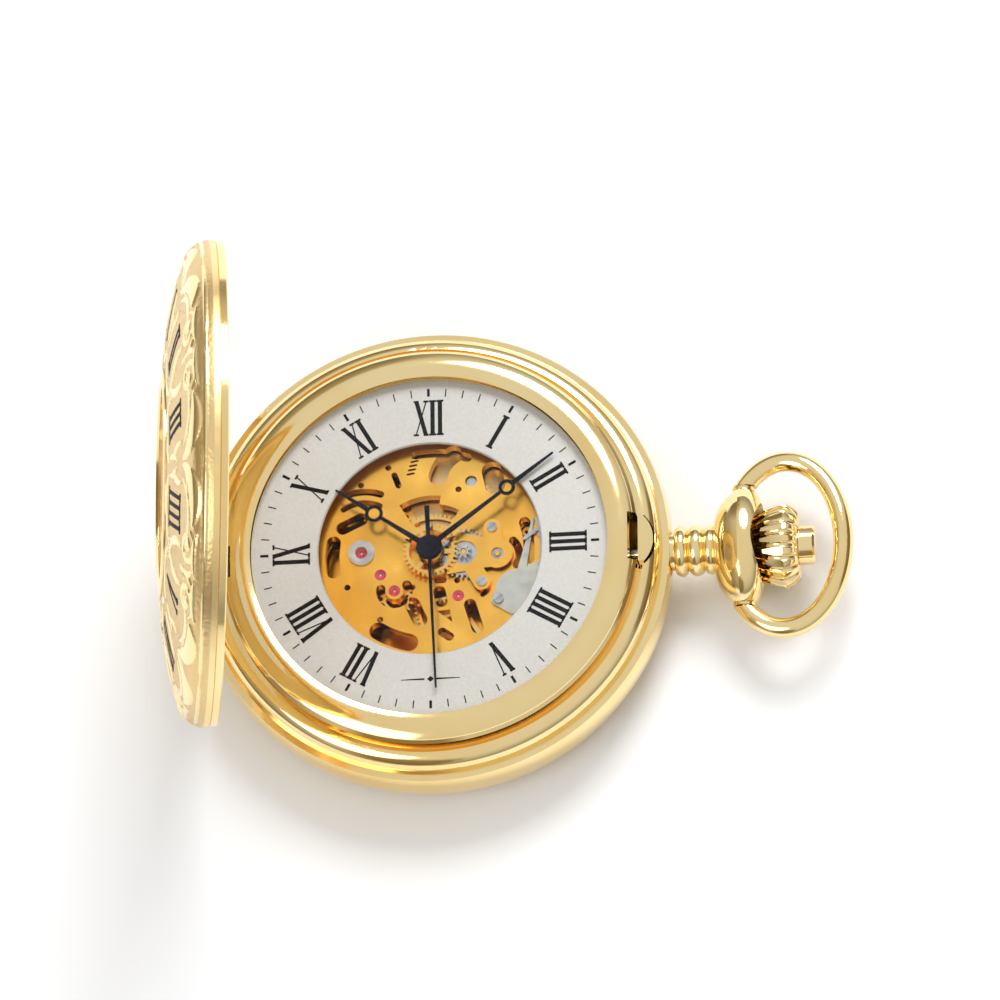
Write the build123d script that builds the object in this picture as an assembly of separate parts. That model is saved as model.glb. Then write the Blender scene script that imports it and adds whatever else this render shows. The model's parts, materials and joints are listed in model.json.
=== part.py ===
from build123d import *
import math
import os

# Hunter pocket watch, lid open. Millimetres, +Z up, watch lying on its back cover.
# Origin: centre of the back cover's flat. +Y points to 12 o'clock, +X to the crown at 3 o'clock.
# Heights in this file are measured from the dial's top face, which is DIAL_Z above the origin.

os.makedirs("parts", exist_ok=True)

# Case
DIAL_Z = 9.3
CASE_R = 23.5
BAND_BORE = 19.2
SEAM_H = -2.5
SHOULDER_R = 22.45
BACK_SEAM_H = -7.2
BACK_FLAT_R = 14.5

# Dial and glass
WINDOW_R = 10.95
DIAL_R = 18.4
BEZEL_IN_R = 17.5
BEZEL_OUT_R = 20.5
GLASS_R = 17.75

# Lid and hinge
HINGE_X = -22.4
HINGE_H = -1.8
LID_OPEN = 80.0
LID_EDGE_H = -2.42
LID_IN_R = 22.85
KNUCKLE_R = 0.72
HINGE_PIN_R = 0.3
HINGE_HALF = 6.8

# Catch: centre and radius of its round outer face
CATCH_X = 18.45
CATCH_R = 3.45

# Pendant, crown and bow, all on the stem's axis
STEM_H = -4.4
NECK_R = 2.36
NECK_ROOT_R = 1.84
KNOB_SQUASH = 0.72
BOW_PIVOT_X = 30.4
BOW_END_Y = 6.3
BOW_TILT = 6.0
BOW_TUBE_R = 0.98
CROWN_FLUTES = 20

# Movement levels
PLATE_TOP = -1.6
PLATE_LOW = -2.9
BRIDGE_TOP = -5.5
BRIDGE_LOW = -6.6
PLATE_R = 17.0

# Wheel train: teeth, centre distances and directions from the centre
CENTRE_T, THIRD_PINION_T = 64, 8
THIRD_T, FOURTH_PINION_T = 60, 8
FOURTH_T, ESCAPE_PINION_T = 60, 6
BARREL_T, CENTRE_PINION_T = 72, 12
CANNON_T, MINUTE_T = 10, 30
MINUTE_PINION_T, HOUR_T = 8, 32
SETTING_T = 10
CROWN_WHEEL_T, RATCHET_T, WINDING_T = 44, 53, 13
TRAIN_DIST = 5.2
BARREL_DIST = 8.4
MOTION_DIST = 3.28
THIRD_DIR, ESCAPE_DIR, BARREL_DIR, MINUTE_DIR = 300.0, 225.0, 62.0, -5.0
ESCAPE_R = 1.9
PALLET_DIST = 2.2

# Time shown: directions of the hands from 3 o'clock, anticlockwise
HOUR_DIR, MINUTE_HAND_DIR, SECONDS_DIR = 145.0, 36.8, -87.7

PIVOT_R = 0.12
JEWEL_R = 0.55


def polar(radius, degrees, x=0.0, y=0.0):
    """Point at a radius and direction from (x, y)."""
    angle = math.radians(degrees)
    return x + radius * math.cos(angle), y + radius * math.sin(angle)


def direction(start, end):
    """Direction in degrees from one point to another."""
    return math.degrees(math.atan2(end[1] - start[1], end[0] - start[0]))


THIRD = polar(TRAIN_DIST, THIRD_DIR)
ESCAPE = polar(TRAIN_DIST, ESCAPE_DIR)
BARREL = polar(BARREL_DIST, BARREL_DIR)
MINUTE = polar(MOTION_DIST, MINUTE_DIR)
SETTING = polar(MOTION_DIST, -4.0, *MINUTE)
BALANCE = (-6.9, 0.4)
LEVER_DIR = direction(ESCAPE, BALANCE)
PALLET = polar(PALLET_DIST, LEVER_DIR, *ESCAPE)
DIAL_FEET = [polar(16.2, angle) for angle in (90, 200, 340)]
CROWN_WHEEL = (10.2, 0.0)
CROWN_WHEEL_DIST = math.dist(CROWN_WHEEL, BARREL)


def profile(start, *steps):
    """Closed face: two numbers are a line to a point, four are an arc through the first pair."""
    edges = []
    here = start
    for step in steps:
        end = step[-2:]
        edges.append(Line(here, end) if len(step) == 2 else ThreePointArc(here, step[:2], end))
        here = end
    edges.append(Line(here, start))
    return make_face(edges)


def dome_drop(edge_r, edge_drop, radius):
    """How far a spherical dome has dropped at a radius, given its drop at the edge."""
    sphere_r = (edge_r**2 + edge_drop**2) / (2 * edge_drop)
    return sphere_r - math.sqrt(sphere_r**2 - radius**2)


def turned(start, *steps):
    """Solid turned about the watch's axis from steps of radius and height."""
    return Pos(0, 0, DIAL_Z) * revolve(Plane.XZ * profile(start, *steps), Axis.Z)


def turned_x(start, *steps):
    """Solid turned about the stem's axis from steps of distance along X and radius."""
    return Pos(0, 0, DIAL_Z + STEM_H) * revolve(profile(start, *steps), Axis.X)


def slab(face, low, high):
    """Flat face of the plan view raised between two heights."""
    return Pos(0, 0, DIAL_Z + low) * extrude(face, high - low)


def disc(radius, low, high, x=0.0, y=0.0):
    """Upright cylinder between two heights."""
    return slab(Pos(x, y) * Circle(radius), low, high)


def block(x0, x1, y0, y1, low, high):
    """Box between X, Y and height limits."""
    return slab(Pos((x0 + x1) / 2, (y0 + y1) / 2) * Rectangle(x1 - x0, y1 - y0), low, high)


def rod_x(radius, x0, x1, y=0.0, height=STEM_H):
    """Cylinder along X."""
    return Pos(x0, y, DIAL_Z + height) * extrude(Plane.YZ * Circle(radius), x1 - x0)


def rod_y(radius, y0, y1, x=HINGE_X, height=HINGE_H):
    """Cylinder along Y."""
    return Pos(x, y1, DIAL_Z + height) * extrude(Plane.XZ * Circle(radius), y1 - y0)


def opened(shape):
    """Lid piece turned from its closed place to the open rest place."""
    hinge = Axis((HINGE_X, 0, DIAL_Z + HINGE_H), (0, 1, 0))
    return shape.rotate(hinge, -LID_OPEN)


def bar(start, end, width):
    """Straight strip with round ends between two plan points."""
    middle = ((start[0] + end[0]) / 2, (start[1] + end[1]) / 2)
    length = math.dist(start, end)
    return Pos(*middle) * Rot(0, 0, direction(start, end)) * SlotCenterToCenter(length, width)


def arc_slot(centre, radius, width, start, end):
    """Curved strip with round ends about a centre."""
    arc = CenterArc((0, 0), radius, start, end - start)
    return Pos(*centre) * SlotArc(arc, width)


def taper(start, end, width0, width1):
    """Straight strip between two plan points that changes width."""
    length = math.dist(start, end)
    corners = [(0, -width0 / 2), (length, -width1 / 2), (length, width1 / 2), (0, width0 / 2)]
    return Pos(*start) * Rot(0, 0, direction(start, end)) * make_face(Polyline(*corners, close=True))


def mesh_phase(teeth_a, phase_a, teeth_b, towards):
    """Direction of a tooth of b whose gaps take a's teeth, with b lying towards that way from a."""
    offset = (phase_a - towards) % (360 / teeth_a)
    return towards + 180 - offset * teeth_a / teeth_b + 180 / teeth_b


def toothed(teeth, module, phase, addendum=0.8, dedendum=1.3):
    """Plan outline of a spur gear with slim teeth."""
    pitch_r = teeth * module / 2
    half_pitch = 180 / teeth
    root_r = pitch_r - dedendum * module
    tip_r = pitch_r + addendum * module
    rows = ((-0.5, root_r), (-0.4, pitch_r), (-0.16, tip_r))
    points = []
    for tooth in range(teeth):
        middle = phase + tooth * 2 * half_pitch
        for turn, radius in rows:
            points.append(polar(radius, middle + turn * half_pitch))
        for turn, radius in reversed(rows):
            points.append(polar(radius, middle - turn * half_pitch))
    return make_face(Polyline(*points, close=True))


def spoke_gaps(hub_r, rim_r, arms, arm_width, phase=0.0):
    """Openings between the arms of a wheel."""
    gaps = Circle(rim_r) - Circle(hub_r)
    for arm in range(arms):
        gaps -= taper((0, 0), polar(rim_r + 1, phase + arm * 360 / arms), arm_width, arm_width)
    return gaps


def wheel(teeth, module, phase, place, low, high, hub_r=0.0, arms=0):
    """Toothed wheel with arms."""
    face = toothed(teeth, module, phase)
    if arms:
        rim_r = teeth * module / 2 - 3.2 * module
        face -= spoke_gaps(hub_r, rim_r, arms, 0.42, phase)
    return slab(Pos(*place) * face, low, high)


def spiral(inner, outer, turns, thickness, low, high, place):
    """Flat spiral strip."""
    steps = int(turns * 12)
    edges = []
    for side in (-0.5, 0.5):
        points = []
        for i in range(steps + 1):
            radius = inner + (outer - inner) * i / steps + side * thickness
            points.append(polar(radius, 360 * turns * i / steps))
        edges.append(Spline(*points))
    edges.append(Line(edges[0] @ 0, edges[1] @ 0))
    edges.append(Line(edges[0] @ 1, edges[1] @ 1))
    return slab(Pos(*place) * make_face(edges), low, high)


def arbor(place, radius, low, high, top=PLATE_TOP - 0.1, bottom=BRIDGE_LOW + 0.1):
    """Wheel's axle with a thin pivot at each end."""
    return disc(radius, low, high, *place) + disc(PIVOT_R, bottom, top, *place)


# ---------------------------------------------------------------- case


def case_band():
    """Middle of the case, with the lid's shoulder, the hinge and the slots for catch and spring."""
    band = turned(
        (BAND_BORE, -6.3),
        (BAND_BORE, -0.85),
        (BEZEL_OUT_R + 0.05, -0.85),
        (BEZEL_OUT_R + 0.05, -2.0),
        (21.0, -2.0),
        (21.0, -0.45),
        (21.9, -0.85, SHOULDER_R, -1.95),
        (22.6, SEAM_H),
        (23.25, SEAM_H),
        (CASE_R, -4.5, 22.95, BACK_SEAM_H),
        (21.4, BACK_SEAM_H),
        (21.4, -6.3),
    )
    band -= block(-24, -21.3, -HINGE_HALF, HINGE_HALF, -2.75, 1)
    catch_pocket = Pos(CATCH_X, 0) * Circle(CATCH_R + 0.15) & Pos(20.1, 0) * Rectangle(3.8, 5.0)
    band -= slab(catch_pocket, -5.9, 1)
    band -= block(-20.9, -BAND_BORE + 1, -2.3, 0.9, -3.2, 1)
    band -= slab(arc_slot((0, 0), 19.45, 0.9, 150, 188), -3.1, -2.1)
    band -= rod_x(NECK_R - 0.9, 21, 24) + rod_x(NECK_ROOT_R + 0.04, 22.58, 24)
    for side in (-1, 1):
        low, high = sorted((side * 1.9, side * 5.8))
        band += rod_y(KNUCKLE_R, low, high)
        band += block(-22.9, -21.2, low, high, -2.9, HINGE_H)
    band -= rod_y(HINGE_PIN_R, -6, 6)
    return band


def back_cover():
    """Snap-on back with a flat to stand on."""
    return turned(
        (0, -9.3),
        (BACK_FLAT_R, -9.3),
        (19.6, -8.95, 22.3, -7.95),
        (22.85, -7.6),
        (22.9, BACK_SEAM_H - 0.03),
        (21.3, BACK_SEAM_H - 0.03),
        (21.3, -6.5),
        (20.7, -6.5),
        (20.7, -7.5),
        (18.5, -8.25, BACK_FLAT_R, -8.6),
        (0, -8.6),
    )


def bezel_ring():
    """Polished bead that holds the glass, notched at the hinge and at the catch."""
    ring = turned(
        (BEZEL_IN_R, 0.05),
        (BEZEL_IN_R, 0.56),
        (GLASS_R + 0.05, 0.56),
        (GLASS_R + 0.05, 1.02),
        (BEZEL_IN_R + 0.05, 1.02),
        (18.9, 1.14, 20.1, 0.66),
        (20.15, 0.56),
        (20.45, 0.3),
        (BEZEL_OUT_R, -0.83),
        (19.25, -0.83),
        (19.25, 0.05),
    )
    ring -= block(19.5, 21, -2.45, 2.45, -2, 2)
    ring -= block(-21, -19.5, -2.3, 0.9, -2, 2)
    return ring


def front_crystal():
    """Low-domed glass over the hands."""
    inner_top, outer_top, edge_low, edge_top = 1.3, 1.8, 0.58, 1.0
    middle = GLASS_R / 2
    inner_middle = inner_top - dome_drop(GLASS_R, inner_top - edge_low, middle)
    outer_middle = outer_top - dome_drop(GLASS_R, outer_top - edge_top, middle)
    return turned(
        (0, inner_top),
        (middle, inner_middle, GLASS_R, edge_low),
        (GLASS_R, edge_top),
        (middle, outer_middle, 0, outer_top),
    )


def dial():
    """Flat dial ring open over the movement."""
    return turned(
        (WINDOW_R + 0.12, -0.4),
        (DIAL_R, -0.4),
        (DIAL_R, 0),
        (WINDOW_R + 0.12, 0),
        (WINDOW_R, -0.1),
        (WINDOW_R, -0.3),
    )


def dial_feet():
    """Three posts under the dial."""
    return Compound([disc(0.5, -1.3, -0.4, *place) for place in DIAL_FEET])


def movement_ring():
    """Spacer between the movement and the case."""
    ring = turned((17.05, -6.2), (19.1, -6.2), (19.1, -0.45), (17.05, -0.45))
    ring -= block(16, 20, -2.9, 2.9, -5.95, 0)
    ring -= block(-20, -17.8, -2.6, 1.2, -3.3, 0)
    return ring


def case_screws():
    """Screws that clamp the movement in its ring."""
    screws = []
    for angle in (45, 205, 300):
        place = polar(16.4, angle)
        slot = slab(Pos(*place) * Rot(0, 0, angle) * Rectangle(3, 0.24), -6.9, -6.75)
        screws.append(disc(1.0, -6.85, -6.6, *place) - slot)
    return Compound(screws)


# ---------------------------------------------------------------- pendant


def pendant():
    """Beaded neck and squashed knob with the socket for the crown and the two bow lugs."""
    neck = turned_x(
        (21.9, 0),
        (21.9, NECK_R - 0.95),
        (22.6, NECK_R - 0.95),
        (22.6, NECK_ROOT_R),
        (23.62, NECK_ROOT_R),
        (24.25, NECK_R + 0.14, 24.95, NECK_R - 0.4),
        (25.75, NECK_R + 0.14, 26.55, NECK_R - 0.4),
        (27.1, NECK_R + 0.05, 27.7, NECK_R - 0.3),
        (30, NECK_R - 0.3),
        (30, 0),
    )
    knob = revolve(
        profile(
            (27.5, 0),
            (27.5, 2.5),
            (28.4, 4.75, 30.1, 6.1),
            (31.1, 6.0, 32.1, 5.0),
            (32.3, 4.2),
            (32.3, 0),
        ),
        Axis.X,
    )
    knob = Pos(0, 0, DIAL_Z + STEM_H) * scale(knob, by=(1, 1, KNOB_SQUASH))
    body = neck + knob
    for side in (-1, 1):
        low, high = sorted((side * 4.6, side * (BOW_END_Y - 0.12)))
        body += rod_y(1.12, low, high, BOW_PIVOT_X, STEM_H)
    body -= turned_x((30.0, 0), (30.0, 3.5), (31.4, 4.2), (33, 4.4), (33, 0))
    body -= rod_x(1.2, 20, 33)
    for side in (-1, 1):
        low, high = sorted((side * 4.5, side * 7))
        body -= rod_y(0.5, low, high, BOW_PIVOT_X, STEM_H)
    return body


def bow():
    """Oval loop that swings on two pivots in the pendant's lugs."""
    half_x, half_y, centre_x = 5.77, 8.67, 34.5
    start = 139.0
    points = []
    for i in range(25):
        angle = math.radians(start - i * 2 * start / 24)
        points.append((centre_x + half_x * math.cos(angle), half_y * math.sin(angle)))
    path = Spline(*points)
    section = Plane(origin=path @ 0, z_dir=path % 0) * Circle(BOW_TUBE_R)
    loop = sweep(section, path=path)
    loop -= Pos(BOW_PIVOT_X, 0) * Box(6, 2 * BOW_END_Y, 6)
    for side in (-1, 1):
        low, high = sorted((side * 4.8, side * 6.7))
        loop += rod_y(0.45, low, high, BOW_PIVOT_X, -DIAL_Z)
    loop = Pos(0, 0, DIAL_Z + STEM_H) * loop
    return loop.rotate(Axis((BOW_PIVOT_X, 0, DIAL_Z + STEM_H), (0, 1, 0)), -BOW_TILT)


def crown():
    """Fluted onion crown with a hollow socket for the stem."""
    body = turned_x(
        (30.75, 0),
        (30.75, 2.8),
        (32.6, 3.6, 34.5, 4.15),
        (35.45, 3.7, 35.8, 2.4),
        (35.8, 0),
    )
    path = Spline((30.2, 2.75), (32.5, 3.74), (34.6, 4.33), (35.6, 3.75), (36.2, 2.4))
    groove = sweep(Plane(origin=path @ 0, z_dir=path % 0) * Circle(0.4), path=path)
    groove = Pos(0, 0, DIAL_Z + STEM_H) * groove
    axis = Axis((0, 0, DIAL_Z + STEM_H), (1, 0, 0))
    body -= [groove.rotate(axis, i * 360 / CROWN_FLUTES) for i in range(CROWN_FLUTES)]
    body -= rod_x(0.66, 30, 34.5)
    return body


def crown_cap():
    """Plain button on the crown's end."""
    return turned_x((35.83, 0), (35.83, 1.92), (37.2, 1.92), (37.4, 1.75), (37.45, 0))


def winding_stem():
    """Stem with its square part, groove and inner pivot."""
    stem = rod_x(0.6, 15.5, 32.4)
    stem += rod_x(0.45, 11.2, 32.4)
    stem += rod_x(0.3, 10.3, 11.3)
    stem -= turned_x((18.0, 0.4), (18.0, 1), (19.4, 1), (19.4, 0.4))
    return stem


# ---------------------------------------------------------------- catch and springs


def lid_catch():
    """Tongue behind the shoulder that the crown pushes back to free the lid."""
    plan = Pos(CATCH_X, 0) * Circle(CATCH_R) & Pos(21.95, 0) * Rectangle(3.1, 4.6)
    tongue = slab(plan, -5.7, -0.25)
    tongue -= rod_x(0.95, 19, 24)
    return tongue


def lift_spring():
    """Leaf by the hinge that throws the lid open."""
    leaf = slab(arc_slot((0, 0), 19.55, 0.35, 152, 186), -2.9, -2.3)
    foot = block(-20.35, -19.5, -1.9, 0.4, -2.9, -2.3)
    return leaf + foot + block(-20.35, -19.95, -1.9, 0.4, -2.5, -0.9)


def hinge_pin():
    """Pin through all the knuckles."""
    return rod_y(HINGE_PIN_R - 0.01, -5.8, 5.8)


# ---------------------------------------------------------------- lid


def hinge_clearance():
    """Room in the lid for the case's knuckles."""
    return block(-24, -21.0, -HINGE_HALF, HINGE_HALF, -3, -0.88)


def lid_shell():
    """Domed cover with the opening for its window and the middle knuckle."""
    shell = turned(
        (LID_IN_R, -1.58),
        (CASE_R, -1.58),
        (CASE_R, -1.0),
        (22.95, 0.35, 21.4, 1.28),
        (16.6, 2.5, 11.1, 3.08),
        (10.35, 3.1),
        (10.35, 2.6),
        (16.4, 2.04, 21.1, 0.82),
        (22.35, 0.1, LID_IN_R, -1.0),
    )
    shell -= hinge_clearance()
    shell += block(-23.15, -22.0, -1.75, 1.75, HINGE_H, -0.4)
    shell += rod_y(KNUCKLE_R, -1.75, 1.75)
    shell -= rod_y(HINGE_PIN_R + 0.05, -2, 2)
    return opened(shell)


def lid_rim():
    """Polished band along the lid's open edge."""
    rim = turned(
        (LID_IN_R, LID_EDGE_H),
        (CASE_R - 0.12, LID_EDGE_H),
        (CASE_R, LID_EDGE_H + 0.12),
        (CASE_R, -1.68),
        (CASE_R - 0.08, -1.6),
        (LID_IN_R, -1.6),
    )
    rim -= hinge_clearance()
    return opened(rim)


def lid_window_bezel():
    """Raised ring round the lid's window."""
    return opened(
        turned(
            (9.75, 2.45),
            (10.3, 2.45),
            (10.3, 3.12),
            (10.95, 3.12),
            (10.95, 3.3),
            (10.75, 3.42),
            (10.0, 3.42),
            (9.75, 3.2),
        )
    )


def lid_window_crystal():
    """Flat glass of the lid's window."""
    return opened(disc(9.7, 2.62, 3.18))


# ---------------------------------------------------------------- plates and bridges


BARREL_PILLARS = (polar(15.4, 106), polar(15.4, 24), polar(15.4, -17))
TRAIN_PILLARS = (polar(15.4, -42), polar(15.4, -80), polar(15.4, -118))
COCK_FOOT = polar(14.3, 177)
MOTION_SCREWS = ((6.05, 2.2), (5.0, -3.4))
COVER_SCREW = (6.6, -5.1)


# Straight openings of the plate: start, end and width
PLATE_SLOTS = (
    ((-8.7, 3.1), (-6.9, 3.95), 1.3),
    ((6.0, 8.3), (6.3, 6.9), 2.0),
    ((-1.9, -5.2), (-1.2, -6.8), 1.5),
    ((0.55, -2.8), (1.15, -2.8), 0.6),
    ((0.75, -4.0), (0.95, -5.0), 1.2),
    ((1.0, -8.2), (1.7, -8.7), 0.9),
    ((3.75, -5.5), (4.45, -7.9), 1.2),
    ((5.0, -4.5), (5.4, -4.2), 0.5),
    ((-3.6, 8.4), (-3.2, 7.3), 0.6),
)
PLATE_HOLES = (
    (-1.9, -3.4),
    (2.5, -2.9),
    (2.7, 6.6),
    (-8.3, -3.1),
    (-5.1, -6.6),
    (-4.2, 9.2),
    (-6.9, 7.5),
)


def sector(inner, outer, start, end):
    """Piece of a ring about the centre, between two directions."""
    wedge = Polyline((0, 0), polar(2 * outer, start), polar(2 * outer, end), close=True)
    return (Circle(outer) - Circle(inner)) & make_face(wedge)


def main_plate():
    """Open-worked plate under the dial."""
    plate = Circle(PLATE_R)
    plate -= sector(2.7, 6.1, 81, 121) + sector(3.1, 5.2, 58, 82)
    plate -= arc_slot((0, 0), 9.75, 1.4, 170.5, 188)
    plate -= arc_slot((0, 0), 10.5, 0.9, 70, 98)
    plate -= arc_slot((0, 0), 9.4, 1.8, 236, 256)
    plate -= arc_slot((0, 0), 9.6, 1.1, -6, 17)
    plate -= arc_slot(BARREL, 3.3, 1.9, 122, 168)
    plate -= arc_slot(SETTING, 2.1, 0.8, -30, 45)
    plate -= arc_slot(ESCAPE, 1.35, 0.9, 170, 385)
    plate -= arc_slot((-6.7, 2.2), 3.45, 0.6, 62, 124)
    plate -= arc_slot((-6.7, 2.2), 4.6, 0.7, 68, 108)
    for start, end, width in PLATE_SLOTS:
        plate -= bar(start, end, width)
    plate -= make_face(Polyline((0.5, -6.0), (1.75, -5.9), (2.0, -7.2), close=True))
    for i in range(5):
        left, low = -2.3 + 0.13 * i, 8.4 + 0.43 * i
        plate -= bar((left, low), (left + 0.6, low + 0.1), 0.2)
    plate -= [Pos(*place) * Circle(0.3) for place in PLATE_HOLES]
    plate -= Circle(0.5)
    plate -= [Pos(*place) * Circle(0.57) for place in (THIRD, ESCAPE, PALLET, BALANCE, BARREL)]
    body = slab(plate, PLATE_LOW, PLATE_TOP)
    rim = Circle(PLATE_R) - Circle(15.2)
    rim -= Pos(16.5, 0) * Rectangle(3.5, 5.8)
    body += slab(rim, PLATE_TOP, -0.45)
    body -= [disc(0.53, -1.4, 0, *place) for place in DIAL_FEET]
    body += block(15.75, 16.9, -1.8, 1.8, -5.3, PLATE_LOW)
    body += block(10.35, 11.15, -1.0, 1.0, -5.1, PLATE_LOW)
    body -= rod_x(0.66, 15.5, 17.5)
    body -= rod_x(0.36, 10, 11.5)
    body += disc(0.25, PLATE_TOP, -1.36, *MINUTE) + disc(0.25, PLATE_TOP, -0.6, *MINUTE)
    body += disc(0.25, PLATE_TOP, -1.0, *SETTING)
    return body


def screw_holes(places):
    """Clear holes for bridge screws."""
    return [disc(0.5, -8, PLATE_LOW, *place) for place in places]


def barrel_bridge():
    """Bridge over the barrel and the winding wheels."""
    corners = [(-5.0, 17), (-3.2, 6.4), (1.9, 2.9), (4.9, -5.3), (17, -5.3), (17, 17)]
    plan = Circle(PLATE_R - 0.1) & make_face(Polyline(*corners, close=True))
    body = slab(plan, BRIDGE_LOW, BRIDGE_TOP)
    body -= disc(5.85, -7, -5.85, *BARREL)
    body -= disc(4.9, -7, -5.85, *CROWN_WHEEL)
    body -= block(11.5, 15.65, -1.7, 1.7, -7, -5)
    body += disc(1.0, -6.2, BRIDGE_TOP, *CROWN_WHEEL)
    body -= disc(1.08, -7, -5, *BARREL)
    body += [disc(1.1, BRIDGE_TOP, PLATE_LOW, *place) for place in BARREL_PILLARS]
    body -= screw_holes(BARREL_PILLARS)
    body -= disc(0.4, -7, -5, *CROWN_WHEEL)
    return body


def train_bridge():
    """Bridge over the wheel train."""
    corners = [(1.4, 2.7), (4.6, -5.7), (17, -5.7), (17, -17)]
    corners += [(-9, -17), (-5.4, -7), (-4.6, -2.6), (-1.6, 2.5)]
    plan = Circle(PLATE_R - 0.1) & make_face(Polyline(*corners, close=True))
    plan -= arc_slot((0, 0), 10.6, 2.4, 262, 312)
    plan -= Pos(*BARREL) * Circle(5.85)
    plan -= [Pos(*place) * Circle(0.57) for place in ((0, 0), THIRD, ESCAPE)]
    body = slab(plan, BRIDGE_LOW, BRIDGE_TOP)
    body += [disc(1.1, BRIDGE_TOP, PLATE_LOW, *place) for place in TRAIN_PILLARS]
    body -= screw_holes(TRAIN_PILLARS)
    return body


def balance_cock():
    """Arm that carries the balance's rear pivot."""
    plan = Pos(*BALANCE) * Circle(2.1) + Pos(*COCK_FOOT) * Circle(2.3)
    plan += taper(COCK_FOOT, BALANCE, 5.4, 2.6)
    plan -= Pos(*BALANCE) * Circle(0.57)
    body = slab(plan, BRIDGE_LOW, BRIDGE_TOP) + disc(1.9, BRIDGE_TOP, PLATE_LOW, *COCK_FOOT)
    return body - screw_holes([COCK_FOOT])


def regulator():
    """Pointer over the balance cock."""
    plan = Pos(*BALANCE) * Circle(1.2) + taper(BALANCE, polar(4.6, 150, *BALANCE), 0.5, 0.16)
    plan -= Pos(*BALANCE) * Circle(0.7)
    return slab(plan, BRIDGE_LOW - 0.2, BRIDGE_LOW - 0.02)


def pallet_cock():
    """Small bridge for the pallet fork."""
    foot = polar(6.0, 232, *PALLET)
    plan = bar(PALLET, foot, 1.3) - Pos(*PALLET) * Circle(PIVOT_R + 0.05)
    return slab(plan, -4.05, -3.85) + disc(0.65, -3.9, PLATE_LOW, *foot)


def bridge_screws():
    """Slotted screws of the bridges."""
    screws = []
    for place in (*BARREL_PILLARS, *TRAIN_PILLARS, COCK_FOOT):
        screw = disc(0.9, -6.9, BRIDGE_LOW - 0.01, *place) + disc(0.44, -6.8, -3.5, *place)
        screws.append(screw - slab(Pos(*place) * Rectangle(2, 0.22), -7, -6.78))
    return Compound(screws)


def jewels():
    """Pierced pivot stones in the main plate and the bridges."""
    stones = []
    for place in (THIRD, ESCAPE, PALLET, BALANCE):
        stone = disc(JEWEL_R, -2.0, PLATE_TOP - 0.02, *place)
        stones.append(stone - disc(PIVOT_R + 0.05, -3, 0, *place))
    for place in ((0, 0), THIRD, ESCAPE, BALANCE):
        stone = disc(JEWEL_R, BRIDGE_LOW + 0.02, BRIDGE_LOW + 0.4, *place)
        stones.append(stone - disc(PIVOT_R + 0.05, -8, 0, *place))
    return Compound(stones)


def balance_setting():
    """Polished collar round the balance's dial-side stone."""
    collar = disc(1.3, PLATE_TOP + 0.01, PLATE_TOP + 0.22, *BALANCE)
    return collar - disc(0.62, -2, 0, *BALANCE)


# ---------------------------------------------------------------- motion works on the dial side


MOTION_MODULE = 2 * MOTION_DIST / (CANNON_T + MINUTE_T)
MINUTE_PHASE = mesh_phase(CANNON_T, MINUTE_DIR, MINUTE_T, MINUTE_DIR)
MINUTE_PINION_PHASE = mesh_phase(HOUR_T, MINUTE_DIR, MINUTE_PINION_T, MINUTE_DIR)
SETTING_DIR = direction(MINUTE, SETTING)
SETTING_PHASE = mesh_phase(MINUTE_T, MINUTE_PHASE, SETTING_T, SETTING_DIR)


def cannon_pinion():
    """Pinion and pipe that carry the minute hand."""
    body = wheel(CANNON_T, MOTION_MODULE, MINUTE_DIR, (0, 0), -1.48, -0.98)
    body += disc(0.76, -1.0, 0.4) + disc(0.66, 0.3, 0.58)
    return body - disc(0.48, -3, 3)


def hour_wheel():
    """Wheel and pipe that carry the hour hand."""
    body = wheel(HOUR_T, MOTION_MODULE, MINUTE_DIR, (0, 0), -0.82, -0.6, 1.3, 3)
    body += disc(1.1, -0.82, 0.12) + disc(0.98, 0.1, 0.32)
    return body - disc(0.82, -3, 3)


def minute_wheel():
    """Reduction wheel with its pinion, turning on a post of the plate."""
    body = wheel(MINUTE_T, MOTION_MODULE, MINUTE_PHASE, MINUTE, -1.34, -1.12)
    body += wheel(MINUTE_PINION_T, MOTION_MODULE, MINUTE_PINION_PHASE, MINUTE, -1.12, -0.52)
    return body - disc(0.3, -3, 3, *MINUTE)


def setting_wheel():
    """Small idler beside the minute wheel."""
    body = wheel(SETTING_T, MOTION_MODULE, SETTING_PHASE, SETTING, -1.34, -1.12)
    return body - disc(0.3, -3, 3, *SETTING)


def motion_cover():
    """Open gilt cover over the minute and setting wheels."""
    plan = taper(polar(1.75, MINUTE_DIR), SETTING, 4.6, 2.6) + Pos(*SETTING) * Circle(1.5)
    plan += bar(SETTING, MOTION_SCREWS[0], 1.7) + bar(MINUTE, MOTION_SCREWS[1], 1.7)
    plan -= Circle(1.2)
    plan -= [Pos(*MINUTE) * Circle(1.24), Pos(*SETTING) * Circle(0.6)]
    body = slab(plan, -1.06, -0.9)
    body += [disc(0.6, PLATE_TOP, -0.9, *place) for place in MOTION_SCREWS]
    body -= [disc(0.28, -2, 0, *place) for place in MOTION_SCREWS]
    return body


def motion_screws():
    """Polished screws of the dial side."""
    screws = []
    for place, low in ((MOTION_SCREWS[0], -0.89), (MOTION_SCREWS[1], -0.89), (COVER_SCREW, -1.31)):
        screw = disc(0.5, low, low + 0.2, *place) + disc(0.24, low - 0.2, low, *place)
        screws.append(screw - slab(Pos(*place) * Rot(0, 0, 35) * Rectangle(2, 0.16), low + 0.1, 0))
    return Compound(screws)


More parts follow.
